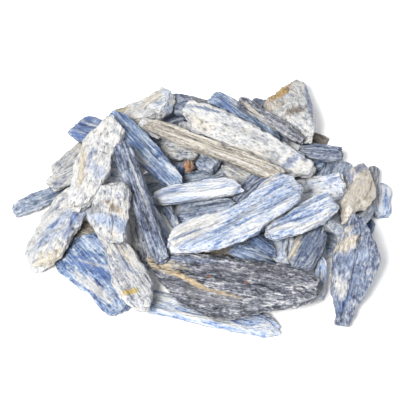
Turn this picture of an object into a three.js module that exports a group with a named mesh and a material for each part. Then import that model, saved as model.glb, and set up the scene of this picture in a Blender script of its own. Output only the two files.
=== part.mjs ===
// A heap of loose kyanite blades: flat striated crystals, slabs and splinters, each one a stone
// of its own, lying across each other in a low mound on a flat surface.
// Millimetres, +Z up, +Y away from the front. The origin is under the middle of the heap, on the
// surface.
import * as THREE from "three";

// Driving dimensions.
const FRONT_ELEVATION = THREE.MathUtils.degToRad(50); // how far above the front places are seen from
const GAP = 0.3; // clearance where one blade rests on another
const STEEPEST_SLOPE = 0.6; // rise over run of the steepest blade
const FRICTION = 4; // height that a blade has to lose for each unit of slope before it tips
const SECTION_SIDES = 9; // corners of a blade's cross-section
const LONG_STATIONS = 9; // lengths of facet along a long blade
const SHORT_STATIONS = 5; // lengths of facet along a chip
const CHIP_LENGTH = 24; // a blade shorter than this is a chip
const CONTACT_SPACING = 1.6; // distance between the points of an underside that can touch the heap
const DROP_HEIGHT = 50; // height that every blade starts from
const STRIDE = 1; // distance between the places tried for a blade
const COARSE_TILT = 0.32; // first change of slope tried for a blade
const FINE_TILT = 0.015; // changes of slope under this are left alone
const LEAST_GAIN = 1e-4; // a blade moves only for more than this

// Finish of each kind of blade: colour and roughness.
const TONES = {
  white: [0xdfe1e3, 0.6],
  cream: [0xdccfb8, 0.7],
  pale_blue: [0xa9b9d6, 0.5],
  deep_blue: [0x4d6ca6, 0.45],
  blue_gray: [0x7c8aa0, 0.55],
  mica_gray: [0x77777a, 0.65],
};

// Outlines of the blades: [place along the half length, lower edge, upper edge in half widths].
const FORMS = {
  lath: [[-1, -0.8, 0.6], [-0.85, -1, 0.95], [0.2, -0.95, 1], [0.85, -1, 0.9], [1, -0.6, 0.85]],
  spear: [[-1, -0.8, 0.6], [-0.8, -1, 0.95], [0.2, -0.9, 1], [0.75, -0.6, 0.65], [1, -0.2, 0.15]],
  leaf: [[-1, -0.25, 0.3], [-0.6, -0.85, 0.8], [0.1, -1, 1], [0.65, -0.75, 0.8], [1, -0.2, 0.3]],
  wedge: [[-1, -0.3, 0.3], [-0.3, -0.75, 0.65], [0.6, -1, 0.95], [1, -0.7, 0.5]],
  block: [[-1, -0.8, 0.6], [-0.75, -1, 1], [0.7, -1, 0.9], [1, -0.6, 0.8]],
  oblique: [[-1, -1, -0.6], [-0.7, -1, 0.85], [0.6, -0.9, 1], [1, 0.4, 1]],
  slab: [
    [-1, -0.2, 0.8], [-0.8, -1, 1], [-0.3, -0.9, 1.1], [0.25, -0.9, 0.95], [0.75, -1, 0.65],
    [1, -0.4, 0.25],
  ],
  rising: [
    [-1, -0.5, -0.1], [-0.75, -0.85, 0.1], [-0.3, -1.05, 0.6], [0.2, -1.05, 1], [0.6, -0.7, 1.15],
    [1, -0.1, 0.7],
  ],
  kinked: [
    [-1, -0.05, 0.5], [-0.9, -0.3, 0.85], [-0.6, -0.75, 1.15], [-0.3, -1.1, 0.9], [0.1, -1.1, 0.7],
    [0.25, -0.75, 0.8], [0.5, -0.65, 1.2], [0.85, -0.4, 1.3], [1, 0.15, 0.85],
  ],
  notched: [
    [-1, -0.5, 0.3], [-0.75, -1.1, 0.85], [0, -0.95, 1.2], [0.5, -0.8, 1.3], [0.72, -0.6, 1.3],
    [0.8, -0.5, 0.5], [1, -0.2, 0],
  ],
  canted: [
    [-1, -0.2, 0.5], [-0.7, -0.6, 0.7], [-0.15, -0.9, 1.05], [0.25, -0.85, 1.15], [0.65, -0.8, 0.8],
    [0.82, -0.75, 0.6], [1, 0.1, 0.5],
  ],
  crested: [
    [-1, -1, -0.7], [-0.56, -1, 0.55], [-0.25, -0.95, 1], [0, -0.85, 1], [0.4, -0.55, 0.6],
    [1, -0.15, 0.1],
  ],
  tooth: [
    [-1, -0.35, 0.2], [-0.75, -0.45, 0.2], [-0.5, -0.6, 0.55], [-0.25, -0.75, 0.7], [0.2, -1, 0.8],
    [0.4, -0.95, 0.7], [0.8, -0.3, 0.5], [1, 0.1, 0.35],
  ],
  shoulder: [
    [-1, 0.6, 0.9], [-0.75, -0.3, 1.1], [-0.5, -0.8, 1.2], [0, -1.2, 1.2], [0.2, -0.95, 1.25],
    [0.5, -0.5, 1.25], [0.75, -0.3, 1.25], [1, 0.2, 0.9],
  ],
  scimitar: [
    [-1, -0.4, 0.5], [-0.85, -0.75, 0.95], [0.4, -1, 1], [0.7, -0.95, 1], [0.87, -0.95, 0.6],
    [1, -0.3, 0],
  ],
  plate: [
    [-1, -0.5, 0.6], [-0.6, -0.7, 1.05], [0.1, -0.75, 1], [0.4, -0.9, 0.8], [0.8, -1, 0.4],
    [1, -0.6, -0.1],
  ],
  paddle: [
    [-1, -0.5, 0], [-0.85, -0.8, 0.3], [-0.45, -1, 0.75], [0.25, -0.77, 1], [0.6, -0.75, 0.95],
    [1, -0.2, 0.4],
  ],
  crown: [
    [-1, 0.6, 0.85], [-0.65, 0, 0.9], [-0.3, -0.7, 0.8], [0.45, -1, 1], [0.75, -0.75, 0.95],
    [1, -0.1, 0.45],
  ],
  stepped: [
    [-1, 0, 0.2], [-0.4, -0.2, 0.75], [-0.15, -0.85, 0.65], [0.35, -1, 0.5], [0.55, -0.7, 1.05],
    [1, 0.2, 0.45],
  ],
  flared: [
    [-1, -0.45, 0.2], [-0.5, -0.4, 0.8], [0, -0.85, 0.95], [0.45, -1.15, 1.15], [0.75, -0.95, 0.75],
    [1, -0.3, 0.1],
  ],
  chunk: [
    [-1, -0.85, -0.3], [-0.75, -0.95, 0.3], [-0.1, -0.93, 1.05], [0.25, -0.9, 0.7], [0.8, -0.88, 0.4],
    [1, -0.6, 0.1],
  ],
};

// The blades from the lowest to the topmost: where the middle of each shows from the front, to the
// right of and above the heap's middle; the way that it points there, in degrees; its length, width
// and thickness; form; tone.
const BLADES = [
  ["lower_back_left_blade", -20, 26, 20, 38, 15, 8, "lath", "blue_gray"],
  ["lower_back_right_blade", 16, 28, -20, 40, 14, 8, "lath", "blue_gray"],
  ["lower_middle_blade", -6, 7, 10, 48, 20, 4, "lath", "blue_gray"],
  ["lower_front_blade", 22, -15, -4, 60, 14, 6, "lath", "blue_gray"],
  ["back_gray_blade", -3, 38, -12, 26, 9, 5, "block", "blue_gray"],
  ["back_prong", 22.5, 39, 70, 18, 7, 4, "wedge", "blue_gray"],
  ["right_striped_end", 52, 11, 62, 18, 13, 5, "block", "blue_gray"],
  ["right_blue_splinter", 41, 13, 22, 17, 5, 3, "lath", "pale_blue"],
  ["back_right_chip", 47, 25, -25, 9, 5, 3, "block", "cream"],
  ["right_gray_blade", 47, 20, -6, 20, 8, 4, "lath", "blue_gray"],
  ["right_white_blade", 45.5, 4.5, 11, 24, 12, 5, "block", "white"],
  ["back_crested_slab", 36, 39, 73, 43, 23, 8, "crested", "white"],
  ["left_shadow_chunk", -35, 13, -8, 18, 12, 6, "block", "blue_gray"],
  ["inner_gray_chunk", -10, 21, -12, 17, 10, 5, "block", "mica_gray"],
  ["inner_blue_chip", -12, 12, 65, 8, 7, 5, "block", "deep_blue"],
  ["inner_rusty_chip", -6, 14, 78, 6, 4, 4, "block", "cream"],
  ["inner_cream_chunk", 2, 14.5, 72, 9, 9, 5, "block", "mica_gray"],
  ["left_brown_chip", -44.5, -12.5, -20, 14, 9, 5, "block", "mica_gray"],
  ["left_mica_strip", -25, -11, -78, 34, 9, 5, "lath", "mica_gray"],
  ["front_gold_blade", 2, -20, 5, 24, 7, 4, "leaf", "mica_gray"],
  ["front_blue_blade", 25, -22.5, -17, 33, 11, 5, "wedge", "deep_blue"],
  ["front_striped_chip", 31, -18, 80, 14, 9, 4, "block", "pale_blue"],
  ["front_dark_splinter", 23, -17, -36, 14, 5, 3, "spear", "blue_gray"],
  ["right_blue_chip", 45, -19, 68, 11, 4, 3, "leaf", "deep_blue"],
  ["right_low_splinter", 45, -30, 88, 18, 5, 4, "lath", "blue_gray"],
  ["far_left_blade", -60, 1.6, 22, 36, 8, 3.5, "spear", "pale_blue"],
  ["left_upper_tan_blade", -52, 19, 41, 28, 6, 3, "lath", "cream"],
  ["left_pale_blade", -52, 11, 28, 24, 8, 3, "lath", "white"],
  ["far_right_blade", 71, 1, 85, 17, 8, 4, "block", "blue_gray"],
  ["far_right_splinter", 68, 10, 80, 10, 4, 3, "lath", "blue_gray"],
  ["right_dark_blade", 62, -11, 58, 17, 10, 4, "oblique", "deep_blue"],
  ["front_scimitar_blade", 2, -42.8, -11, 58, 12, 4, "scimitar", "pale_blue"],
  ["front_left_plate", -40, -28, -30, 38, 26, 5, "plate", "deep_blue"],
  ["back_white_crown", -24, 36.5, 24, 28, 15, 6, "crown", "white"],
  ["back_white_chip", -21, 28, -32, 11, 6, 4, "block", "white"],
  ["upper_left_blue_blade", -41, 28, -18, 34, 14, 5, "block", "deep_blue"],
  ["middle_arched_blade", 14, 9.5, -32, 18, 10, 5, "leaf", "white"],
  ["middle_striped_blade", 19, 6, 42, 20, 7, 4, "lath", "blue_gray"],
  ["middle_shadow_blade", 1, -3, 8, 30, 8, 4, "spear", "blue_gray"],
  ["middle_gray_splinter", -13, -6, -60, 13, 4, 3, "lath", "mica_gray"],
  ["middle_pale_splinter", -17, -11, -66, 22, 5, 4, "lath", "pale_blue"],
  ["right_cream_blue_blade", 40, -18, 60, 26, 12, 5, "leaf", "cream"],
  ["front_mica_blade", 9.5, -33.5, -9, 69, 21, 6, "shoulder", "mica_gray"],
  ["left_speckled_blade", -57, -10.3, 53, 42, 23, 6, "paddle", "white"],
  ["right_lavender_slab", 57, -5, 42, 32, 15, 3.5, "block", "blue_gray"],
  ["right_stepped_blade", 60.5, 2.5, 63, 43, 14, 6, "stepped", "cream"],
  ["right_striped_blade", 37, -6, 17, 32, 14, 5, "rising", "white"],
  ["back_blue_blade", 17, 34, -34, 34, 8, 4, "spear", "deep_blue"],
  ["back_gray_splinter", 27, 32, -34, 33, 5, 3, "lath", "mica_gray"],
  ["left_arched_blade", -23, 19, -45, 44, 12, 4, "spear", "pale_blue"],
  ["left_leaning_blade", -42, 15, 69, 44, 15, 6, "canted", "white"],
  ["left_ridged_blade", -24, 0, -70, 54, 8, 5, "lath", "deep_blue"],
  ["front_flared_blade", -31, -24, -58, 46, 14, 5, "flared", "mica_gray"],
  ["right_tooth_blade", 56, -26.8, 77, 43, 21, 7, "tooth", "pale_blue"],
  ["front_kinked_blade", 13.6, -7.1, 24, 60, 18, 5, "kinked", "white"],
  ["small_white_chip", -8, 30.5, 75, 8, 6, 3, "block", "white"],
  ["top_white_blade", 18, 25, -24.5, 59, 13, 5, "slab", "white"],
  ["long_cream_blade", 4, 21, -22, 62, 7, 4, "lath", "cream"],
  ["front_white_chunk", -36.5, -5, 85, 24, 18, 8, "chunk", "white"],
  ["middle_notched_blade", -2, 4, 6, 38, 10, 4, "notched", "white"],
];

// The front view: to the right, up, and away from the viewer.
const RIGHT = new THREE.Vector3(1, 0, 0);
const UP = new THREE.Vector3(0, Math.sin(FRONT_ELEVATION), Math.cos(FRONT_ELEVATION));
const AWAY = new THREE.Vector3(0, Math.cos(FRONT_ELEVATION), -Math.sin(FRONT_ELEVATION));

// A repeatable sequence of numbers from 0 to 1.
function sequence(seed) {
  let state = seed * 2654435761 + 12345;
  return () => {
    state = (Math.imul(state ^ (state >>> 15), 1 | state) + 0x6d2b79f5) | 0;
    return ((state ^ (state >>> 14)) >>> 0) / 4294967296;
  };
}

// The lower and upper edge of a form at a place along it.
function edgesAt(form, along) {
  const next = Math.max(1, form.findIndex(([place]) => place >= along));
  const [before, after] = [form[next - 1], form[next]];
  const share = (along - before[0]) / (after[0] - before[0]);
  return [1, 2].map((edge) => THREE.MathUtils.lerp(before[edge], after[edge], share));
}

// One blade along X with its broad faces across Z: a prism with a flat underside, bevelled sides and
// a ledge where the topmost layer has split away, broken off unevenly at both ends.
function bladeGeometry(length, width, thickness, form, seed) {
  const random = sequence(seed);
  const stations = length < CHIP_LENGTH ? SHORT_STATIONS : LONG_STATIONS;
  const ledgeDrop = thickness * (0.12 + 0.2 * random());
  const ledgeSide = random() < 0.5 ? 0 : 1;
  const ledgePlace = 0.5 * (random() - 0.5);
  const ledgeEnd = 0.2 + random();
  const rough = Array.from({ length: stations + 1 }, () =>
    Array.from({ length: SECTION_SIDES }, () => random() - 0.5));

  // The corner of the cross-section with this number, at this station.
  const corner = (station, side) => {
    const along = (2 * station) / stations - 1;
    const [low, high] = edgesAt(form, along).map((edge) => (edge * width) / 2);
    const span = high - low;
    const end = Math.abs(along) === 1;
    const wobble = rough[station][side];
    const top = (thickness / 2) * (end ? 0.55 : 1) + wobble * 0.12 * thickness;
    const drops = [0, 1].map((half) => (half === ledgeSide && along < ledgeEnd ? ledgeDrop : 0));
    const ledge = THREE.MathUtils.clamp(ledgePlace * width, low + 0.2 * span, high - 0.2 * span);
    const [across, height] = [
      [low + 0.08 * span, -thickness / 2],
      [high - 0.08 * span, -thickness / 2],
      [high, (wobble * 0.3 - 0.12) * thickness],
      [high - 0.03 * span, (wobble * 0.2 + 0.2) * thickness],
      [high - (0.1 + 0.06 * wobble) * span, top - drops[1]],
      [ledge + 0.04 * span, top - drops[1]],
      [ledge - 0.02 * span, top - drops[0]],
      [low + (0.1 + 0.06 * wobble) * span, top - drops[0]],
      [low, (wobble * 0.3 + 0.02) * thickness],
    ][side];
    const split = end && side > 1 ? Math.sign(along) * (wobble - 0.3) * 0.08 * length : 0;
    return new THREE.Vector3((along * length) / 2 + split, across, height);
  };

  const geometry = new THREE.CylinderGeometry(1, 1, 2, SECTION_SIDES, stations);
  geometry.deleteAttribute("uv");
  const points = geometry.getAttribute("position");
  for (let i = 0; i < points.count; i++) {
    const [x, y, z] = [points.getX(i), points.getY(i), points.getZ(i)];
    const station = Math.round(((y + 1) / 2) * stations);
    const turns = Math.atan2(x, z) / (2 * Math.PI);
    const side = Math.round(turns * SECTION_SIDES + SECTION_SIDES) % SECTION_SIDES;
    const onAxis = Math.hypot(x, z) < 0.5;
    const middle = new THREE.Vector3();
    if (onAxis) {
      for (let k = 0; k < SECTION_SIDES; k++) {
        middle.addScaledVector(corner(station, k), 1 / SECTION_SIDES);
      }
    }
    const place = onAxis ? middle : corner(station, side);
    points.setXYZ(i, place.x, place.y, place.z);
  }
  geometry.computeVertexNormals();
  return geometry;
}

// Points spread over a geometry's faces, at most this far apart.
function surfacePoints(geometry, spacing) {
  const faces = geometry.index ? geometry.toNonIndexed() : geometry;
  const position = faces.getAttribute("position");
  const points = [];
  const corners = [0, 1, 2].map(() => new THREE.Vector3());
  for (let face = 0; face < position.count; face += 3) {
    corners.forEach((corner, k) => corner.fromBufferAttribute(position, face + k));
    const [a, b, c] = corners;
    const steps = Math.ceil(Math.max(a.distanceTo(b), b.distanceTo(c), c.distanceTo(a)) / spacing);
    for (let i = 0; i <= steps; i++) {
      for (let j = 0; j <= steps - i; j++) {
        const k = steps - i - j;
        const point = a.clone().multiplyScalar(i / steps);
        points.push(point.addScaledVector(b, j / steps).addScaledVector(c, k / steps));
      }
    }
  }
  return points;
}

// The upper surface of the heap so far, as heights over a square grid. The bare surface is at zero.
class HeapTop {
  static CELL = 0.5;
  static HALF_SIDE = 150;

  constructor() {
    this.cells = Math.ceil((2 * HeapTop.HALF_SIDE) / HeapTop.CELL);
    this.heights = new Float32Array(this.cells ** 2).fill(-GAP);
  }

  index(x, y) {
    const column = Math.floor((x + HeapTop.HALF_SIDE) / HeapTop.CELL);
    const row = Math.floor((y + HeapTop.HALF_SIDE) / HeapTop.CELL);
    return row * this.cells + column;
  }

  // How high a blade's middle has to be over (x, y) for all its points to clear the heap.
  clearance(points, attitude, x, y) {
    const e = attitude.elements;
    let highest = -Infinity;
    for (const p of points) {
      const px = x + e[0] * p.x + e[4] * p.y + e[8] * p.z;
      const py = y + e[1] * p.x + e[5] * p.y + e[9] * p.z;
      const pz = e[2] * p.x + e[6] * p.y + e[10] * p.z;
      highest = Math.max(highest, this.heights[this.index(px, py)] - pz);
    }
    return highest + GAP;
  }

  // Adds a blade that has been laid, with a margin of one cell around it.
  cover(points, matrix) {
    for (const point of points) {
      const p = point.clone().applyMatrix4(matrix);
      for (let dx = -1; dx <= 1; dx++) {
        for (let dy = -1; dy <= 1; dy++) {
          const at = this.index(p.x + dx * HeapTop.CELL, p.y + dy * HeapTop.CELL);
          this.heights[at] = Math.max(this.heights[at], p.z);
        }
      }
    }
  }
}

// The attitude of a blade that lies on a slope and points the given way in the front view.
function attitudeOn(slopeX, slopeY, turn) {
  const normal = new THREE.Vector3(-slopeX, -slopeY, 1).normalize();
  const along = RIGHT.clone().multiplyScalar(Math.cos(turn)).addScaledVector(UP, Math.sin(turn));
  along.addScaledVector(AWAY, -along.dot(normal) / AWAY.dot(normal)).normalize();
  return new THREE.Matrix4().makeBasis(along, normal.clone().cross(along), normal);
}

// The slope on which a blade's middle comes lowest over (x, y), which is how it comes to rest there.
// Friction keeps it from tipping for a small gain in height.
function settle(heapTop, points, turn, x, y) {
  const level = heapTop.clearance(points, attitudeOn(0, 0, turn), x, y);
  let best = { slopeX: 0, slopeY: 0, z: level, cost: level };
  const directions = [[1, 0], [-1, 0], [0, 1], [0, -1], [1, 1], [-1, -1], [1, -1], [-1, 1]];
  for (let step = COARSE_TILT; step > FINE_TILT; step /= 2) {
    for (let moved = true; moved; ) {
      moved = false;
      for (const [dx, dy] of directions) {
        const [slopeX, slopeY] = [best.slopeX + dx * step, best.slopeY + dy * step];
        if (Math.hypot(slopeX, slopeY) > STEEPEST_SLOPE) continue;
        const z = heapTop.clearance(points, attitudeOn(slopeX, slopeY, turn), x, y);
        const cost = z + FRICTION * Math.hypot(slopeX, slopeY);
        if (cost < best.cost - LEAST_GAIN) {
          best = { slopeX, slopeY, z, cost };
          moved = true;
        }
      }
    }
  }
  return best;
}

// Moves a blade back along the line of sight from the front, as far as the heap lets it, and keeps
// the resting place that shows nearest to the one wanted.
function layDown(heapTop, points, right, above, turn) {
  const [sine, cosine] = [Math.sin(FRONT_ELEVATION), Math.cos(FRONT_ELEVATION)];
  let nearest = { error: Infinity };
  let y = (above - DROP_HEIGHT * cosine) / sine;
  for (let inside = false; !inside; y += STRIDE) {
    const rest = settle(heapTop, points, turn, right, y);
    const error = rest.z - (above - y * sine) / cosine;
    inside = error >= 0;
    if (Math.abs(error) < nearest.error) {
      nearest = { ...rest, x: right, y, error: Math.abs(error) };
    }
  }
  return nearest;
}

const heap = new THREE.Group();
const heapTop = new HeapTop();
BLADES.forEach(([name, right, above, degrees, length, width, thickness, form, tone], number) => {
  const turn = THREE.MathUtils.degToRad(degrees);
  const geometry = bladeGeometry(length, width, thickness, FORMS[form], number + 1);
  const underside = surfacePoints(geometry, CONTACT_SPACING).filter((point) => point.z < 0);
  const rest = layDown(heapTop, underside, right, above, turn);

  const attitude = attitudeOn(rest.slopeX, rest.slopeY, turn);
  const skin = surfacePoints(geometry, HeapTop.CELL);
  const [color, roughness] = TONES[tone];
  const finish = { color, roughness, metalness: 0, flatShading: true };
  const blade = new THREE.Mesh(geometry, new THREE.MeshStandardMaterial(finish));
  blade.name = name;
  blade.position.set(rest.x, rest.y, heapTop.clearance(skin, attitude, rest.x, rest.y));
  blade.quaternion.setFromRotationMatrix(attitude);
  blade.updateMatrix();
  heapTop.cover(skin, blade.matrix);
  heap.add(blade);
});

// Puts the origin under the middle of the heap.
const bounds = new THREE.Box3().setFromObject(heap, true);
const middle = bounds.getCenter(new THREE.Vector3());
heap.position.set(-middle.x, -middle.y, -bounds.min.z);

const cluster = new THREE.Group();
cluster.add(heap);

export default cluster;
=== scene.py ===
# A heap of loose kyanite blades on a pale floor.
# Each blade takes its form from its solid, and gets worn edges, split layers, striations, chipped sides,
# splintered ends and a stone of its own colours, with painted shade in its grooves and gaps and painted
# highlight on its edges.
import math

import bpy
import numpy as np
from mathutils import Matrix, Vector
from mathutils.bvhtree import BVHTree


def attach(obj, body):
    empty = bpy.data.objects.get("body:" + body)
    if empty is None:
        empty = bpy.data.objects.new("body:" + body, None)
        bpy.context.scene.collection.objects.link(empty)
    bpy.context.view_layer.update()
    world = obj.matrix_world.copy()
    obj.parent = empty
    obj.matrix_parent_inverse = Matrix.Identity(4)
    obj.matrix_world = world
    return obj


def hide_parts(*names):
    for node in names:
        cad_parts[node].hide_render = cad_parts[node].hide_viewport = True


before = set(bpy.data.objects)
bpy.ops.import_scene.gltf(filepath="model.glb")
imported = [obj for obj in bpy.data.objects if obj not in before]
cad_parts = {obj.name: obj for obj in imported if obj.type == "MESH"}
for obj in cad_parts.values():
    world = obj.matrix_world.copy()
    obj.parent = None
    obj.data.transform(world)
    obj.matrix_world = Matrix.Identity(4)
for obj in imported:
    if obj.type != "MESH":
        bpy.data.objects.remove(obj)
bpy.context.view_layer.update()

# The view, from the front and above. Places on the blades are given as points of this view.
VIEW_SIDE = 416  # points along each side of the view
VIEW_ELEVATION = math.radians(50)
LENS = 180.0
SENSOR = 36.0
POINT = 0.0004  # metres covered by one point of the view at the heap
HEAP_MIDDLE = Vector((0.00075, 0.00352, 0.0))  # the middle of the blades' layout
MIDDLE_POINT = (203.5, 201.5)  # where that middle shows

RIGHT = Vector((1, 0, 0))
UP = Vector((0, math.sin(VIEW_ELEVATION), math.cos(VIEW_ELEVATION)))
BACK = Vector((0, -math.cos(VIEW_ELEVATION), math.sin(VIEW_ELEVATION)))
DISTANCE = VIEW_SIDE * POINT * LENS / SENSOR
AIM = (
    HEAP_MIDDLE
    + RIGHT * (VIEW_SIDE / 2 - MIDDLE_POINT[0]) * POINT
    - UP * (VIEW_SIDE / 2 - MIDDLE_POINT[1]) * POINT
)
EYE = AIM + BACK * DISTANCE

# The fine surface, in millimetres.
MM = 0.001
VOXEL = 0.28  # size of the fine mesh across a blade
SQUEEZE = 0.5  # share of its length that a blade is squeezed to while its fine mesh is made
WEAR = 3  # rounds of smoothing that wear the solid's edges
MOST_OUT = 0.55  # how far the fine surface may stand out of the solid
MOST_IN = 1.3  # how far it may lie inside
LEVELS = 4  # levels that the layers of a face lie at
LEVEL_SLOPE = 0.3  # share of each level that slopes up to the next
CHIP_SHIFT = 0.1  # share of their height that chipped sides lie further in
END_SHARE = 0.25  # share of half a blade that its splintered end takes up
END_MOST = 4  # the longest splintered end
GROOVE_DEPTH = 0.06  # how far a point in a full groove lies below those around it
GROOVE_ROUNDS = 2  # rounds of smoothing that make grooves and edges broader
GAP_SHADE_REACH = 6.0  # how far from a surface another blade still makes a gap that gets painted shade
PATCH_DEPTH = 3.0  # how deep a patch of colour goes

# The light is bright enough to clear the floor, so the stones send back only this share of a shown colour.
SHADE = 0.51

# Colours as they show in full light.
COLOURS = {
    "white": (240, 238, 234),
    "cream": (232, 221, 199),
    "tan": (212, 186, 142),
    "ochre": (222, 178, 96),
    "gold": (218, 186, 84),
    "rust": (192, 116, 56),
    "brown": (146, 124, 98),
    "olive": (160, 160, 132),
    "gray": (150, 152, 158),
    "dark_gray": (84, 86, 96),
    "gray_blue": (122, 140, 176),
    "pale_blue": (184, 202, 234),
    "blue": (92, 124, 186),
    "strong_blue": (66, 104, 200),
    "navy": (50, 64, 104),
}

# Finishes: colours from the darkest streaks to the lightest, then the strength of the pale wisps and of
# the dark flecks.
FINISHES = {
    "white": (
        [(178, 184, 197), (210, 214, 221), (232, 232, 231), (246, 244, 240), (232, 225, 212)], 0.3, 0.4,
    ),
    # a lit copy of the white finish: painted light, for white blades that should show brighter than the key
    # makes them
    "bright": ([(170, 193, 242), (226, 235, 250), (250, 251, 253), (255, 255, 255)], 0.4, 0.1),
    "cream": ([(112, 105, 98), (176, 168, 156), (218, 210, 196), (240, 234, 224)], 0.4, 0.35),
    "bone": ([(206, 195, 176), (234, 224, 206), (247, 239, 226), (253, 248, 239)], 0.3, 0.15),
    "pale_blue": (
        [(86, 119, 180), (150, 175, 216), (206, 217, 236), (236, 239, 245), (244, 242, 238)], 0.45, 0.25,
    ),
    "streaked_blue": (
        [(38, 64, 116), (76, 108, 160), (128, 155, 194), (180, 196, 218), (226, 229, 232)], 0.45, 0.3,
    ),
    "deep_blue": (
        [(26, 44, 88), (52, 82, 140), (88, 120, 173), (140, 162, 199), (208, 215, 226)], 0.4, 0.3,
    ),
    "dark_striped": (
        [(20, 24, 36), (52, 62, 88), (94, 108, 138), (142, 154, 177), (198, 204, 213)], 0.4, 0.4,
    ),
    "blue_gray": (
        [(40, 48, 74), (80, 93, 126), (122, 136, 164), (166, 175, 192), (206, 203, 196)], 0.4, 0.5,
    ),
    "gray": ([(60, 63, 76), (106, 110, 124), (150, 153, 163), (190, 191, 193), (216, 211, 199)], 0.4, 0.5),
    "mica": ([(8, 10, 20), (38, 42, 57), (86, 91, 107), (146, 150, 162), (222, 220, 216)], 0.4, 0.7),
    "slate": ([(32, 50, 86), (54, 78, 122), (80, 106, 150), (120, 142, 178)], 0.3, 0.2),
    "lavender": (
        [(72, 88, 120), (118, 136, 166), (160, 174, 197), (199, 207, 219), (230, 231, 233)], 0.45, 0.4,
    ),
    "speckled": (
        [(98, 106, 126), (156, 162, 176), (204, 206, 210), (232, 230, 226), (212, 203, 185)], 0.45, 0.5,
    ),
    "tan": ([(70, 64, 58), (122, 114, 102), (166, 157, 142), (206, 198, 184)], 0.3, 0.5),
    "rust": ([(92, 54, 32), (158, 100, 58), (194, 148, 102), (214, 192, 158)], 0.2, 0.4),
}
FLECK_AND_GROOVE_SHADE = (42, 50, 78)  # dark flecks, which are the stone's own, and painted shade in grooves
WISP_AND_EDGE_HIGHLIGHT = (230, 234, 241)  # pale wisps, which are the stone's own, and painted highlight on edges
GAP_SHADE = (22, 23, 30)  # painted shade in the gaps between blades, where other blades are near

# Surfaces: height in millimetres of the swells, split layers, striations, grit, chipped sides and
# splintered ends; then how long the streaks are for their width, and roughness.
SURFACES = {
    "blade": (0.3, 0.9, 0.18, 0.25, 0.6, 1.4, 3.5, 0.6),
    "striated": (0.25, 0.9, 0.3, 0.15, 0.5, 1.6, 6.0, 0.52),
    "crust": (0.45, 0.6, 0.1, 0.5, 0.8, 1.0, 1.7, 0.7),
    "layered": (0.3, 1.3, 0.25, 0.35, 0.7, 1.4, 3.0, 0.5),
    "smooth": (0.25, 0.35, 0.08, 0.1, 0.4, 0.8, 5.0, 0.45),
}

# Kinds of relief, in the order of those heights: size in millimetres along a blade, across it and through
# it, and octaves.
RELIEF = {
    "swells": ((14, 6, 6), 2),
    "layers": ((26, 5.5, 4), 4),
    "striations": ((10, 0.9, 0.9), 2),
    "grit": ((2.4, 1.7, 1.7), 3),
    "chips": ((3.5, 30, 4), 3),
    "splinters": ((60, 2.2, 2.6), 3),
}

# Kinds of noise in the stones: size in millimetres along a blade, across it and through it, detail, a shift
# that sets it apart from the others, roughness and distortion.
MOTTLING = ((2.6, 4, 4), 3, 0.0, 0.6, 0.8)
STREAKS = ((1.8, 0.75, 0.75), 2, 31.0, 0.6, 0.3)
GRAIN = ((1.4, 1, 1), 2, 53.0, 0.7, 0.0)
WISPS = ((0.9, 0.9, 0.9), 2, 17.0, 0.7, 0.8)
FLECKS = ((1.4, 0.9, 0.9), 2, 91.0, 0.7, 0.8)
RAGGED = ((2.5, 1, 1), 4, 71.0, 0.7, 0.0)  # a patch's outline, in half widths of the patch
STONE_SHIFT = 13.7  # sets each stone's noise apart from the next stone's
AXIS_SHIFT = 17  # sets the three axes of the noise apart

# How much each kind counts in a stone's tone and in its bumps.
TONE_WEIGHTS = (0.5, 0.45, 0.35)  # mottling, streaks, grain
BUMP_WEIGHTS = (1.0, 0.8, 0.6)  # streaks, grain, wisps
BUMP_STRENGTH = 0.9
BUMP_HEIGHT = 0.8  # millimetres

# Spans of values: where a colour, a mask or a tint starts and where it is full.
TONE_SPAN = (0.51, 0.79)
STREAK_SPAN = (0.35, 0.65)
GRAIN_SPAN = (0.3, 0.7)
WISP_SPAN = (0.58, 0.66)
FLECK_SPAN = (0.62, 0.68)
RAGGED_SPAN = (0.25, 0.75)
PATCH_SPAN = (1.3, 0.7)  # distance from a patch's middle, where its outline is at 1
GROOVE_SHADE_MASK = ((0.12, 0.8), 0.55)  # painted shade in grooves: a span, and how much of the stone the mask covers where it is full
# painted highlight on edges and ridges
EDGE_HIGHLIGHT_MASK = ((-0.15, -0.9), 0.3)
# painted shade in gaps: darker where other blades are near
GAP_SHADE_MASK = ((0.52, 0.15), 0.96)
RAGGEDNESS = 0.7  # how far a patch's outline wanders
PATCH_TONES = (0.8, 1.06)  # the darkest and lightest streaks of a patch, as shares of its colour
ROUGHNESS_SPREAD = 0.15  # how far a stone's roughness goes up and down with its grain

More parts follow.
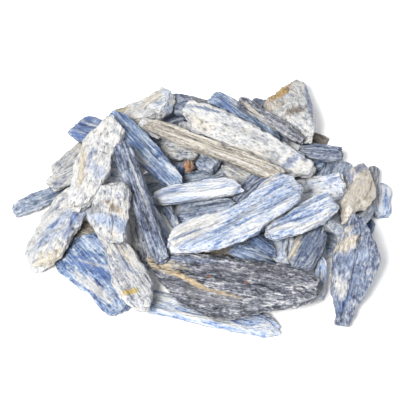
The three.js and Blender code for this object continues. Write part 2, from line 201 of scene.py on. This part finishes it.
# Each blade's slot in the record, finish and surface.
BLADES = {
    "lower_back_left_blade": ("blue_gray_kyanite", "blue_gray", "striated"),
    "lower_back_right_blade": ("blue_gray_kyanite", "blue_gray", "striated"),
    "lower_middle_blade": ("blue_gray_kyanite", "lavender", "striated"),
    "lower_front_blade": ("blue_gray_kyanite", "lavender", "striated"),
    "back_gray_blade": ("blue_gray_kyanite", "blue_gray", "crust"),
    "back_prong": ("blue_gray_kyanite", "blue_gray", "blade"),
    "right_striped_end": ("blue_gray_kyanite", "lavender", "striated"),
    "right_blue_splinter": ("pale_blue_kyanite", "streaked_blue", "blade"),
    "back_right_chip": ("cream_kyanite", "tan", "blade"),
    "right_gray_blade": ("blue_gray_kyanite", "blue_gray", "striated"),
    "right_white_blade": ("white_kyanite", "bright", "crust"),
    "back_crested_slab": ("white_kyanite", "white", "crust"),
    "left_shadow_chunk": ("blue_gray_kyanite", "pale_blue", "striated"),
    "inner_gray_chunk": ("micaceous_kyanite", "speckled", "crust"),
    "inner_blue_chip": ("deep_blue_kyanite", "slate", "crust"),
    "inner_rusty_chip": ("cream_kyanite", "rust", "crust"),
    "inner_cream_chunk": ("micaceous_kyanite", "lavender", "blade"),
    "left_brown_chip": ("micaceous_kyanite", "tan", "blade"),
    "left_mica_strip": ("micaceous_kyanite", "speckled", "layered"),
    "front_gold_blade": ("micaceous_kyanite", "tan", "layered"),
    "front_blue_blade": ("deep_blue_kyanite", "streaked_blue", "striated"),
    "front_striped_chip": ("pale_blue_kyanite", "pale_blue", "striated"),
    "front_dark_splinter": ("blue_gray_kyanite", "slate", "striated"),
    "right_blue_chip": ("deep_blue_kyanite", "streaked_blue", "blade"),
    "right_low_splinter": ("blue_gray_kyanite", "pale_blue", "blade"),
    "left_upper_tan_blade": ("cream_kyanite", "speckled", "striated"),
    "left_pale_blade": ("white_kyanite", "speckled", "striated"),
    "far_left_blade": ("pale_blue_kyanite", "lavender", "striated"),
    "far_right_blade": ("blue_gray_kyanite", "pale_blue", "smooth"),
    "far_right_splinter": ("blue_gray_kyanite", "gray", "blade"),
    "right_dark_blade": ("deep_blue_kyanite", "slate", "smooth"),
    "front_scimitar_blade": ("pale_blue_kyanite", "pale_blue", "smooth"),
    "front_left_plate": ("deep_blue_kyanite", "streaked_blue", "blade"),
    "back_white_crown": ("white_kyanite", "white", "crust"),
    "back_white_chip": ("white_kyanite", "white", "blade"),
    "upper_left_blue_blade": ("deep_blue_kyanite", "deep_blue", "striated"),
    "middle_arched_blade": ("white_kyanite", "speckled", "blade"),
    "middle_striped_blade": ("blue_gray_kyanite", "blue_gray", "striated"),
    "middle_shadow_blade": ("blue_gray_kyanite", "lavender", "striated"),
    "middle_gray_splinter": ("micaceous_kyanite", "lavender", "striated"),
    "middle_pale_splinter": ("pale_blue_kyanite", "pale_blue", "blade"),
    "right_cream_blue_blade": ("cream_kyanite", "blue_gray", "striated"),
    "front_mica_blade": ("micaceous_kyanite", "mica", "layered"),
    "left_speckled_blade": ("white_kyanite", "white", "crust"),
    "right_lavender_slab": ("blue_gray_kyanite", "lavender", "smooth"),
    "right_striped_blade": ("white_kyanite", "pale_blue", "striated"),
    "back_blue_blade": ("deep_blue_kyanite", "streaked_blue", "striated"),
    "back_gray_splinter": ("micaceous_kyanite", "mica", "striated"),
    "left_arched_blade": ("pale_blue_kyanite", "streaked_blue", "striated"),
    "left_leaning_blade": ("white_kyanite", "white", "crust"),
    "left_ridged_blade": ("deep_blue_kyanite", "dark_striped", "striated"),
    "front_flared_blade": ("micaceous_kyanite", "speckled", "blade"),
    "right_stepped_blade": ("cream_kyanite", "bone", "blade"),
    "right_tooth_blade": ("pale_blue_kyanite", "blue_gray", "crust"),
    "front_kinked_blade": ("white_kyanite", "pale_blue", "striated"),
    "top_white_blade": ("white_kyanite", "white", "crust"),
    "long_cream_blade": ("cream_kyanite", "cream", "striated"),
    "front_white_chunk": ("white_kyanite", "speckled", "crust"),
    "small_white_chip": ("white_kyanite", "white", "blade"),
    "middle_notched_blade": ("white_kyanite", "bright", "smooth"),
}

# Patches of another colour, a few of them painted shade: blade, the points of the view that it runs
# between, half its width in millimetres, colour, strength.
PATCHES = [
    ("top_white_blade", (192, 106), (222, 113), 0.9, "gray_blue", 0.85),
    ("top_white_blade", (286, 165), (296, 157), 1.6, "blue", 0.6),
    ("top_white_blade", (295, 148), (304, 156), 1.2, "gray_blue", 0.6),
    ("top_white_blade", (240, 150), (262, 158), 2.0, "cream", 0.5),
    ("top_white_blade", (192, 118), (205, 128), 2.2, "cream", 0.5),
    ("top_white_blade", (228, 126), (270, 142), 1.6, "gray", 0.4),
    ("top_white_blade", (268, 152), (276, 166), 1.6, "gray", 0.4),
    ("back_white_crown", (110, 116), (122, 112), 2.2, "olive", 0.85),
    ("back_white_crown", (121, 112), (129, 108), 1.4, "tan", 0.5),
    ("back_white_crown", (138, 108), (158, 96), 3.0, "cream", 0.5),
    ("back_white_crown", (158, 104), (172, 112), 2.2, "pale_blue", 0.7),
    ("back_white_crown", (165, 92), (172, 98), 1.6, "pale_blue", 0.6),
    # painted shade along the crown's lower edge
    ("back_white_crown", (148, 116), (172, 121), 1.2, "dark_gray", 0.7),
    ("back_crested_slab", (270, 99), (289, 87), 2.0, "ochre", 0.9),
    ("back_crested_slab", (283, 90), (294, 92), 1.0, "ochre", 0.6),
    ("back_crested_slab", (265, 112), (270, 109), 0.9, "ochre", 0.5),
    ("back_crested_slab", (270, 110), (284, 102), 2.2, "cream", 0.7),
    ("back_crested_slab", (288, 114), (302, 109), 2.2, "brown", 0.8),
    ("back_crested_slab", (308, 85), (312, 125), 1.2, "gray_blue", 0.8),
    ("back_blue_blade", (219, 100), (236, 112), 1.4, "blue", 0.8),
    ("back_blue_blade", (232, 100), (246, 108), 0.8, "white", 0.5),
    ("back_gray_splinter", (242, 102), (262, 118), 0.6, "cream", 0.6),
    ("back_gray_splinter", (250, 112), (275, 132), 0.5, "white", 0.7),
    ("back_gray_blade", (190, 98), (215, 105), 1.2, "brown", 0.4),
    ("upper_left_blue_blade", (74, 114), (96, 112), 1.2, "blue", 0.8),
    ("upper_left_blue_blade", (76, 124), (98, 134), 1.0, "blue", 0.7),
    ("upper_left_blue_blade", (74, 134), (86, 142), 1.2, "blue", 0.8),
    ("upper_left_blue_blade", (74, 119), (98, 126), 0.8, "white", 0.6),
    ("left_arched_blade", (122, 142), (150, 148), 0.8, "blue", 0.8),
    ("left_arched_blade", (145, 143), (165, 176), 1.0, "gray_blue", 0.6),
    ("left_arched_blade", (125, 150), (150, 166), 1.4, "white", 0.6),
    ("left_arched_blade", (143, 165), (165, 177), 0.8, "blue", 0.7),
    ("left_leaning_blade", (87, 160), (92, 152), 1.0, "blue", 0.6),
    ("left_leaning_blade", (90, 165), (104, 176), 2.2, "pale_blue", 0.6),
    ("left_leaning_blade", (122, 140), (108, 178), 1.2, "gray_blue", 0.8),
    ("left_leaning_blade", (84, 148), (80, 186), 1.4, "cream", 0.9),
    ("left_leaning_blade", (100, 160), (108, 150), 1.6, "gray", 0.35),
    ("left_ridged_blade", (128, 155), (150, 215), 0.5, "white", 0.6),
    ("left_ridged_blade", (133, 152), (160, 235), 0.6, "navy", 0.6),
    ("left_speckled_blade", (44, 240), (84, 206), 4.0, "pale_blue", 0.7),
    ("left_speckled_blade", (50, 228), (57, 222), 1.0, "blue", 0.8),
    ("left_speckled_blade", (70, 222), (78, 206), 1.2, "blue", 0.8),
    ("left_speckled_blade", (62, 238), (72, 226), 0.8, "blue", 0.7),
    ("left_speckled_blade", (40, 246), (46, 236), 1.0, "gray_blue", 0.7),
    ("left_speckled_blade", (52, 212), (62, 200), 1.2, "gray_blue", 0.6),
    ("left_speckled_blade", (78, 228), (88, 212), 0.8, "gray_blue", 0.6),
    ("left_speckled_blade", (55, 232), (66, 222), 1.4, "white", 0.7),
    ("left_speckled_blade", (42, 262), (60, 256), 3.0, "cream", 0.9),
    ("front_left_plate", (82, 243), (104, 245), 1.6, "pale_blue", 0.6),
    ("front_left_plate", (70, 254), (118, 284), 2.0, "blue", 0.9),
    ("front_left_plate", (84, 252), (106, 258), 1.0, "blue", 0.7),
    ("front_left_plate", (80, 260), (110, 268), 0.7, "white", 0.5),
    ("front_left_plate", (76, 274), (112, 301), 1.8, "white", 0.8),
    ("front_left_plate", (112, 297), (135, 302), 1.4, "gray_blue", 0.6),
    ("front_flared_blade", (124, 292), (136, 290), 1.2, "gold", 0.9),
    ("front_flared_blade", (100, 225), (118, 245), 1.4, "gray_blue", 0.5),
    ("front_flared_blade", (118, 240), (130, 262), 1.2, "cream", 0.6),
    ("front_flared_blade", (116, 255), (130, 270), 1.4, "gray_blue", 0.6),
    ("front_flared_blade", (140, 285), (150, 270), 1.6, "gray", 0.5),
    ("front_white_chunk", (108, 203), (118, 210), 1.4, "tan", 0.6),
    ("front_white_chunk", (97, 218), (125, 226), 2.6, "pale_blue", 0.8),
    ("front_white_chunk", (112, 218), (126, 229), 1.4, "gray_blue", 0.5),
    ("front_white_chunk", (90, 212), (100, 204), 1.6, "gray", 0.8),
    ("front_mica_blade", (149, 260), (168, 270), 1.9, "tan", 0.9),
    ("front_mica_blade", (164, 269), (188, 279), 1.2, "tan", 0.9),
    ("front_mica_blade", (183, 277), (206, 289), 1.0, "tan", 0.85),
    ("front_mica_blade", (202, 288), (240, 298), 0.7, "tan", 0.8),
    ("front_mica_blade", (205, 268), (300, 281), 2.2, "dark_gray", 0.5),
    ("front_mica_blade", (176, 288), (236, 303), 2.2, "gray", 0.5),
    ("front_mica_blade", (152, 260), (178, 266), 2.0, "cream", 0.5),
    ("front_mica_blade", (208, 277), (210, 277), 0.55, "rust", 1.0),
    ("front_mica_blade", (245, 283), (247, 283), 0.45, "rust", 0.9),
    ("front_mica_blade", (150, 257), (220, 262), 0.9, "gray_blue", 0.6),
    # painted shade along the mica blade's upper edge
    ("front_mica_blade", (240, 263), (310, 275), 0.8, "dark_gray", 0.7),
    ("front_scimitar_blade", (226, 318), (238, 323), 0.5, "strong_blue", 0.9),
    ("front_scimitar_blade", (158, 300), (180, 294), 2.0, "olive", 0.4),
    ("front_scimitar_blade", (160, 308), (250, 328), 0.8, "white", 0.7),
    ("front_scimitar_blade", (218, 306), (256, 316), 1.4, "gray_blue", 0.5),
    # painted shade along the scimitar's upper right edge
    ("front_scimitar_blade", (246, 305), (277, 322), 0.7, "dark_gray", 0.9),
    ("front_gold_blade", (183, 257), (215, 250), 1.0, "gold", 0.5),
    ("front_gold_blade", (190, 255), (230, 248), 1.6, "brown", 0.5),
    ("front_blue_blade", (240, 255), (280, 262), 0.6, "pale_blue", 0.7),
    ("middle_notched_blade", (158, 196), (178, 188), 1.6, "blue", 0.6),
    ("middle_notched_blade", (160, 203), (205, 198), 0.8, "pale_blue", 0.7),
    ("front_kinked_blade", (168, 240), (215, 222), 3.5, "white", 0.9),
    ("front_kinked_blade", (185, 244), (228, 236), 1.6, "pale_blue", 0.8),
    ("front_kinked_blade", (168, 242), (205, 228), 0.45, "gray_blue", 0.9),
    ("front_kinked_blade", (225, 228), (262, 200), 1.2, "gray", 0.5),
    ("front_kinked_blade", (262, 197), (283, 184), 0.7, "blue", 0.8),
    ("front_kinked_blade", (264, 185), (276, 177), 1.2, "cream", 0.6),
    ("front_kinked_blade", (262, 212), (290, 196), 1.0, "gray_blue", 0.6),
    ("right_striped_blade", (278, 225), (318, 212), 0.8, "blue", 0.8),
    ("right_striped_blade", (285, 210), (320, 198), 1.0, "gray_blue", 0.6),
    ("right_striped_blade", (266, 231), (310, 224), 1.2, "white", 0.7),
    ("right_white_blade", (325, 184), (338, 178), 1.0, "blue", 0.5),
    ("right_white_blade", (305, 180), (322, 177), 0.5, "gray", 0.6),
    ("right_stepped_blade", (351, 177), (367, 163), 2.6, "blue", 0.7),
    ("right_stepped_blade", (355, 164), (366, 157), 1.0, "white", 0.6),
    ("right_stepped_blade", (337, 212), (348, 190), 1.2, "gray", 0.8),
    ("right_tooth_blade", (330, 262), (350, 268), 2.4, "gray_blue", 0.7),
    ("right_tooth_blade", (346, 262), (364, 254), 2.0, "pale_blue", 0.6),
    ("right_tooth_blade", (352, 262), (362, 284), 2.2, "gray_blue", 0.6),
    ("right_tooth_blade", (335, 263), (344, 259), 1.4, "navy", 0.6),
    ("right_tooth_blade", (334, 296), (338, 312), 1.6, "gray_blue", 0.7),
    ("right_tooth_blade", (338, 248), (356, 239), 2.4, "cream", 0.85),
    ("right_tooth_blade", (342, 232), (350, 228), 1.2, "cream", 0.6),
    ("right_tooth_blade", (331, 256), (346, 258), 1.4, "gray_blue", 0.7),
    ("right_tooth_blade", (329, 276), (343, 288), 3.0, "white", 0.75),
    ("right_tooth_blade", (350, 291), (356, 274), 1.4, "gray_blue", 0.8),
    ("right_tooth_blade", (340, 309), (349, 298), 1.2, "blue", 0.6),
    ("right_cream_blue_blade", (290, 258), (300, 236), 1.5, "cream", 0.9),
    ("right_cream_blue_blade", (305, 252), (320, 228), 1.4, "gray_blue", 0.7),
    ("right_blue_chip", (315, 248), (318, 242), 0.8, "cream", 0.6),
    ("right_low_splinter", (314, 294), (320, 288), 1.4, "tan", 0.5),
    ("right_lavender_slab", (338, 202), (331, 232), 2.2, "gray", 0.6),
    ("right_lavender_slab", (334, 234), (372, 210), 0.9, "white", 0.5),
    ("left_brown_chip", (90, 226), (98, 232), 1.8, "brown", 0.6),
    ("far_right_blade", (368, 206), (378, 200), 2.0, "white", 0.7),
]

# Repeatable noise over points, with large odd numbers that mix the cells.
CELL_MIXERS = (73856093, 19349663, 83492791)
SEED_MIXER = 50331653
MIXING_ROUNDS = ((13, 1274126177), (15, 2246822519))
LAST_SHIFT = 16
LARGEST = 0xFFFFFFFF
CONTRAST = 3  # spreads the noise, which is mostly near its middle
OCTAVE_SEEDS = 101  # between the seeds of two octaves
BLADE_SEEDS = 1000  # between those of two blades


def lattice(cells, seed):
    """A value from 0 to 1 for each cell."""
    mixed = seed * SEED_MIXER
    for column, mixer in zip(cells.T, CELL_MIXERS):
        mixed = mixed ^ column * mixer
    for shift, mixer in MIXING_ROUNDS:
        mixed = (mixed ^ (mixed >> shift)) * mixer & LARGEST
    return (mixed ^ (mixed >> LAST_SHIFT)) / LARGEST


def ease(share):
    """A share from 0 to 1 that starts and ends gently."""
    return share * share * (3 - 2 * share)


def noise(points, seed):
    """Smooth noise from 0 to 1, with features about one unit wide."""
    corner = np.floor(points).astype(np.int64)
    share = ease(points - corner)
    total = np.zeros(len(points))
    for step in np.ndindex(2, 2, 2):
        weight = np.prod(np.where(step, share, 1 - share), axis=1)
        total += weight * lattice(corner + np.array(step), seed)
    return total


def fractal(points, size, octaves, seed):
    """Noise of several sizes, about evenly on both sides of zero and mostly within one of it."""
    shares = [0.5**k for k in range(octaves)]
    layers = [
        share * noise(points / size * 2**k, seed + OCTAVE_SEEDS * k) for k, share in enumerate(shares)
    ]
    return CONTRAST * (sum(layers) / sum(shares) - 0.5)


def smooth(low, high, value):
    """How far a value has come from low to high, from 0 to 1."""
    return ease(np.clip((value - low) / (high - low), 0, 1))


def shown(colour):
    """A colour as it shows, as the linear values that a stone's shader takes.

    The numbers are those of the standard curve of screen colours.
    """
    levels = [value / 255 for value in colour]
    linear = [s / 12.92 if s <= 0.04045 else ((s + 0.055) / 1.055) ** 2.4 for s in levels]
    return (*[SHADE * value for value in linear], 1.0)


def placed(name, data):
    """A new object in the scene."""
    made = bpy.data.objects.new(name, data)
    bpy.context.scene.collection.objects.link(made)
    return made


# Meshes and their points.
LEADING = (1, 0.2, 0)  # the way that blades lead: to the right, and a little to the back


def blade_axes(points):
    """Along the blade the way it leads, across it, and out of its upper face, as columns."""
    spread = np.cov((points - points.mean(0)).T)
    _, axes = np.linalg.eigh(spread)
    along, normal = axes[:, 2], axes[:, 0]
    along = along if along @ LEADING > 0 else -along
    normal = normal if normal[2] > 0 else -normal
    return np.stack([along, np.cross(normal, along), normal], axis=1)


def mesh_points(mesh):
    values = np.empty(len(mesh.vertices) * 3)
    mesh.vertices.foreach_get("co", values)
    return values.reshape(-1, 3)


def set_points(mesh, points):
    mesh.vertices.foreach_set("co", points.ravel())
    mesh.update()


def mesh_normals(mesh):
    values = np.empty(len(mesh.vertices) * 3)
    mesh.vertex_normals.foreach_get("vector", values)
    return values.reshape(-1, 3)


def fine_mesh(name, points, faces):
    """A mesh of small even faces on a solid with these points, in millimetres on the blade's axes."""
    squeeze = np.array([SQUEEZE, 1, 1])
    mesh = bpy.data.meshes.new("solid")
    mesh.from_pydata(points * squeeze, [], faces)
    solid = placed("solid", mesh)
    voxels = solid.modifiers.new("voxels", "REMESH")
    voxels.mode = "VOXEL"
    voxels.voxel_size = VOXEL
    graph = bpy.context.evaluated_depsgraph_get()
    fine = bpy.data.meshes.new_from_object(solid.evaluated_get(graph))
    fine.name = name
    set_points(fine, mesh_points(fine) / squeeze)
    bpy.data.objects.remove(solid)
    bpy.data.meshes.remove(mesh)
    return fine


def neighbour_mean(mesh):
    """A function that averages a value over the neighbours of each point."""
    edges = np.empty(len(mesh.edges) * 2, dtype=np.int64)
    mesh.edges.foreach_get("vertices", edges)
    first, second = edges.reshape(-1, 2).T
    size = len(mesh.vertices)
    count = np.bincount(np.concatenate([first, second]), minlength=size)

    def around(values):
        if values.ndim == 2:
            return np.stack([around(column) for column in values.T], axis=1)
        total = np.bincount(first, values[second], size) + np.bincount(second, values[first], size)
        return total / count

    return around


def soften(values, around, rounds):
    """Values moved halfway to the mean of their neighbours, round after round."""
    for _ in range(rounds):
        values = 0.5 * values + 0.5 * around(values)
    return values


def weather(points, normals, surface, seed):
    """The fine surface's points: swells, split layers, striations, grit, chipped sides, splintered ends."""
    heights = dict(zip(RELIEF, SURFACES[surface]))
    relief = {kind: fractal(points, *RELIEF[kind], seed + k) for k, kind in enumerate(RELIEF)}
    level = LEVELS * (0.5 + relief["layers"] / CONTRAST)
    level = np.floor(level) + smooth(0.0, LEVEL_SLOPE, level % 1)
    relief["layers"] = level / LEVELS - 0.5
    sideways = np.abs(normals[:, 1])
    relief["chips"] = sideways * (relief["chips"] - CHIP_SHIFT)
    splits = 0.5 + 0.5 * relief.pop("splinters")
    height = sum(heights[kind] * value for kind, value in relief.items())
    weathered = points + normals * np.clip(height, -MOST_IN, MOST_OUT)[:, None]

    half = np.abs(points[:, 0]).max()
    reach = min(END_SHARE * half, END_MOST)
    near_end = smooth(half - reach, half, np.abs(points[:, 0]))
    weathered[:, 0] -= np.sign(points[:, 0]) * near_end * heights["splinters"] * splits
    return weathered


def hollows(points, normals, around):
    """How hollow the surface is at each point: 1 in a groove, -1 on an edge."""
    below = np.einsum("ij,ij->i", around(points) - points, normals)
    return np.clip(soften(below / GROOVE_DEPTH, around, GROOVE_ROUNDS), -1, 1)


def roughen(mesh, surface, seed):
    """Wears and weathers a fine mesh, and brings it from millimetres to metres."""
    around = neighbour_mean(mesh)
    worn = soften(mesh_points(mesh), around, WEAR)
    set_points(mesh, worn)
    weathered = weather(worn, mesh_normals(mesh), surface, seed)
    set_points(mesh, weathered)
    hollow = mesh.attributes.new("hollow", "FLOAT", "POINT")
    hollow.data.foreach_set("value", hollows(weathered, mesh_normals(mesh), around))
    set_points(mesh, weathered * MM)
    mesh.polygons.foreach_set("use_smooth", np.ones(len(mesh.polygons), dtype=bool))


class Stone:
    """A blade's material, made of nodes that are added one after another."""

    # Sockets of the mix node that carry colours.
    MIX_FACTOR = 0
    MIX_BASE = 6
    MIX_OTHER = 7
    MIXED = 2

    def __init__(self, name, number):
        self.material = bpy.data.materials.new(name)
        self.material.use_nodes = True
        self.tree = self.material.node_tree
        self.shader = self.tree.nodes["Principled BSDF"]
        self.coordinates = self.add("ShaderNodeTexCoord").outputs["Object"]
        self.offset = STONE_SHIFT * number

    def add(self, kind, **inputs):
        node = self.tree.nodes.new(kind)
        for name, value in inputs.items():
            self.set(node.inputs[name.replace("_", " ")], value)
        return node

    def set(self, socket, value):
        if isinstance(value, bpy.types.NodeSocket):
            self.tree.links.new(value, socket)
        else:
            socket.default_value = value

    def noise(self, kind, times=(1, 1, 1)):
        """Noise of one kind, this many times as long, wide and deep."""
        sizes, detail, shift, roughness, distortion = kind
        scale = [1 / (MM * (size * more)) for size, more in zip(sizes, times)]
        place = [self.offset + shift + AXIS_SHIFT * k for k in range(3)]
        mapping = self.add("ShaderNodeMapping", Vector=self.coordinates, Scale=scale, Location=place)
        texture = self.add("ShaderNodeTexNoise", Vector=mapping.outputs[0], Scale=1.0, Detail=detail)
        self.set(texture.inputs["Roughness"], roughness)
        self.set(texture.inputs["Distortion"], distortion)
        return texture.outputs[0]

    def math(self, operation, first, second):
        node = self.add("ShaderNodeMath")
        node.operation = operation
        self.set(node.inputs[0], first)
        self.set(node.inputs[1], second)
        return node.outputs[0]

    def weighted(self, values, weights):
        """The sum of several values, each with its weight."""
        total = None
        for value, weight in zip(values, weights):
            part = self.math("MULTIPLY", value, weight)
            total = self.math("ADD", total, part) if total else part
        return total

    def rescale(self, value, span, onto=(0.0, 1.0)):
        """A value moved from one span onto another, and held within it."""
        low, high = span
        new_low, new_high = onto
        node = self.add("ShaderNodeMapRange", Value=value, From_Min=low, From_Max=high)
        self.set(node.inputs["To Min"], new_low)
        self.set(node.inputs["To Max"], new_high)
        return node.outputs[0]

    def ramp(self, value, colours):
        """Colours evenly along a value from 0 to 1."""
        node = self.add("ShaderNodeValToRGB", Fac=value)
        elements = node.color_ramp.elements
        while len(elements) < len(colours):
            elements.new(0.5)
        for k, colour in enumerate(colours):
            elements[k].position = k / (len(colours) - 1)
            elements[k].color = shown(colour)
        return node.outputs["Color"]

    def mix(self, base, other, factor):
        node = self.add("ShaderNodeMix")
        node.data_type = "RGBA"
        self.set(node.inputs[self.MIX_FACTOR], factor)
        self.set(node.inputs[self.MIX_BASE], base)
        self.set(node.inputs[self.MIX_OTHER], other)
        return node.outputs[self.MIXED]

    def patch(self, start, end, half_width):
        """A mask for a ragged patch between two points of the blade."""
        reach = end - start
        half_length = reach.length / 2 + half_width * MM
        across = Vector((0, 0, 1)).cross(reach).normalized()
        basis = Matrix([reach.normalized(), across, reach.cross(across).normalized()]).transposed()
        mapping = self.add("ShaderNodeMapping", Vector=self.coordinates, Location=(start + end) / 2)
        mapping.vector_type = "TEXTURE"
        self.set(mapping.inputs["Rotation"], basis.to_euler())
        self.set(mapping.inputs["Scale"], (half_length, half_width * MM, PATCH_DEPTH * MM))
        distance = self.add("ShaderNodeVectorMath", Vector=mapping.outputs[0])
        distance.operation = "LENGTH"
        ragged = self.noise(RAGGED, (half_width, half_width, half_width))
        wander = self.rescale(ragged, RAGGED_SPAN, (-RAGGEDNESS, RAGGEDNESS))
        return self.rescale(self.math("ADD", distance.outputs["Value"], wander), PATCH_SPAN)


def stone(name, finish, surface, patches, number):
    """A blade's material: mottling, streaks, patches, wisps, flecks, painted shade in grooves and gaps,
    painted highlight on edges.
    """
    colours, wisps, flecks = FINISHES[finish]
    stretch, roughness = SURFACES[surface][-2:]
    lengthwise = (stretch, 1, 1)
    made = Stone(name, number)
    mottling = made.noise(MOTTLING, lengthwise)
    streaks = made.noise(STREAKS, lengthwise)
    grain = made.noise(GRAIN)
    tone = made.weighted((mottling, streaks, grain), TONE_WEIGHTS)
    colour = made.ramp(made.rescale(tone, TONE_SPAN), colours)
    for start, end, half_width, patch_colour, strength in patches:
        mask = made.math("MULTIPLY", made.patch(start, end, half_width), strength)
        dark, light = [[share * value for value in patch_colour] for share in PATCH_TONES]
        tint = made.mix(shown(dark), shown(light), made.rescale(streaks, STREAK_SPAN))
        colour = made.mix(colour, tint, mask)

    wisp = made.noise(WISPS, lengthwise)
    fleck = made.noise(FLECKS)
    hollow = made.add("ShaderNodeAttribute")
    hollow.attribute_name = "hollow"
    # Painted shade: ambient occlusion darkens the stone where other blades are near.
    gap = made.add("ShaderNodeAmbientOcclusion", Distance=GAP_SHADE_REACH * MM)
    # Pale wisps and dark flecks are the stone's own; grooves and gaps get painted shade, edges a painted
    # highlight.
    covers = [
        (WISP_AND_EDGE_HIGHLIGHT, wisp, WISP_SPAN, wisps),
        (FLECK_AND_GROOVE_SHADE, fleck, FLECK_SPAN, flecks),
        (FLECK_AND_GROOVE_SHADE, hollow.outputs["Fac"], *GROOVE_SHADE_MASK),
        (WISP_AND_EDGE_HIGHLIGHT, hollow.outputs["Fac"], *EDGE_HIGHLIGHT_MASK),
        (GAP_SHADE, gap.outputs["AO"], *GAP_SHADE_MASK),
    ]
    for cover, value, span, strength in covers:
        colour = made.mix(colour, shown(cover), made.rescale(value, span, (0.0, strength)))
    made.set(made.shader.inputs["Base Color"], colour)

    spread = (roughness - ROUGHNESS_SPREAD, roughness + ROUGHNESS_SPREAD)
    made.set(made.shader.inputs["Roughness"], made.rescale(grain, GRAIN_SPAN, spread))
    height = made.weighted((streaks, grain, wisp), BUMP_WEIGHTS)
    bump = made.add("ShaderNodeBump", Height=height, Strength=BUMP_STRENGTH, Distance=BUMP_HEIGHT * MM)
    made.set(made.shader.inputs["Normal"], bump.outputs[0])
    return made.material


# Blades.
SEARCH = range(-80, 81, 4)  # millimetres before and behind the heap where a line of sight is searched


def seen(tree, point):
    """The place on a solid that shows at a point of the view, or the nearest to it."""
    across = (point[0] - VIEW_SIDE / 2) / VIEW_SIDE * SENSOR / LENS
    above = (VIEW_SIDE / 2 - point[1]) / VIEW_SIDE * SENSOR / LENS
    direction = (RIGHT * across + UP * above - BACK).normalized()
    hit = tree.ray_cast(EYE, direction)[0]
    if hit:
        return hit
    steps = [EYE + direction * (DISTANCE + step * MM) for step in SEARCH]
    place, _, _, _ = min((tree.find_nearest(step) for step in steps), key=lambda found: found[3])
    return place


def patches_on(name, tree, place):
    """A blade's patches, with their ends as points of the blade."""
    patches = []
    for owner, first, last, half_width, colour, strength in PATCHES:
        if owner == name:
            start, end = [place.inverted() @ seen(tree, point) for point in (first, last)]
            patches.append((start, end, half_width, COLOURS[colour], strength))
    return patches


def blade(name, number):
    """Makes the fine blade that stands for a solid."""
    slot, finish, surface = BLADES[name]
    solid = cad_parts[name].data
    points = mesh_points(solid)
    axes = blade_axes(points)
    middle = (points.min(0) + points.max(0)) / 2
    faces = [list(face.vertices) for face in solid.polygons]
    mesh = fine_mesh(name, (points - middle) @ axes / MM, faces)
    roughen(mesh, surface, BLADE_SEEDS * number)

    piece = placed(f"{name}_stone", mesh)
    place = Matrix([[*axes[row], middle[row]] for row in range(3)] + [[0, 0, 0, 1]])
    piece.matrix_world = place
    tree = BVHTree.FromPolygons([Vector(point) for point in points], faces)
    mesh.materials.clear()
    mesh.materials.append(stone(f"{name}_{finish}", finish, surface, patches_on(name, tree, place), number))
    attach(piece, "root")
    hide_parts(name)


for number, name in enumerate(BLADES, start=1):
    blade(name, number)

# The floor.
FLOOR_SIDE = 6
FLOOR_DROP = 0.0002  # just under the blades
PAPER = (0.95, 0.95, 0.95, 1)
PAPER_ROUGHNESS = 0.9

bpy.ops.mesh.primitive_plane_add(size=FLOOR_SIDE, location=(0, 0, -FLOOR_DROP))
floor = bpy.context.object
floor.name = "floor"
paper = bpy.data.materials.new("paper")
paper.use_nodes = True
paper_shader = paper.node_tree.nodes["Principled BSDF"]
paper_shader.inputs["Base Color"].default_value = PAPER
paper_shader.inputs["Roughness"].default_value = PAPER_ROUGHNESS
floor.data.materials.append(paper)

# Light: a bright soft key from the front left, and an even, slightly cool surround.
KEY_PLACE = Vector((-0.36, -0.9, 1.15))
KEY_SIZE = 0.4
KEY_WATTS = 44
KEY_COLOUR = (1.0, 0.98, 0.95)
SURROUND = 0.8
SURROUND_COLOUR = (0.95, 0.97, 1.0, 1)

world = bpy.data.worlds.new("studio")
bpy.context.scene.world = world
world.use_nodes = True
background = world.node_tree.nodes["Background"]
background.inputs["Color"].default_value = SURROUND_COLOUR
background.inputs["Strength"].default_value = SURROUND

key = bpy.data.lights.new("key", "AREA")
key.size = KEY_SIZE
key.energy = KEY_WATTS
key.color = KEY_COLOUR
lamp = placed("key", key)
lamp.location = KEY_PLACE
lamp.rotation_mode = "QUATERNION"
lamp.rotation_quaternion = (HEAP_MIDDLE - KEY_PLACE).to_track_quat("-Z", "Y")

# The camera.
view = bpy.data.cameras.new("view")
view.lens = LENS
view.sensor_width = SENSOR
camera = placed("view", view)
camera.location = EYE
camera.rotation_mode = "QUATERNION"
camera.rotation_quaternion = (-BACK).to_track_quat("-Z", "Y")
bpy.context.scene.camera = camera
bpy.context.scene.view_settings.view_transform = "Standard"
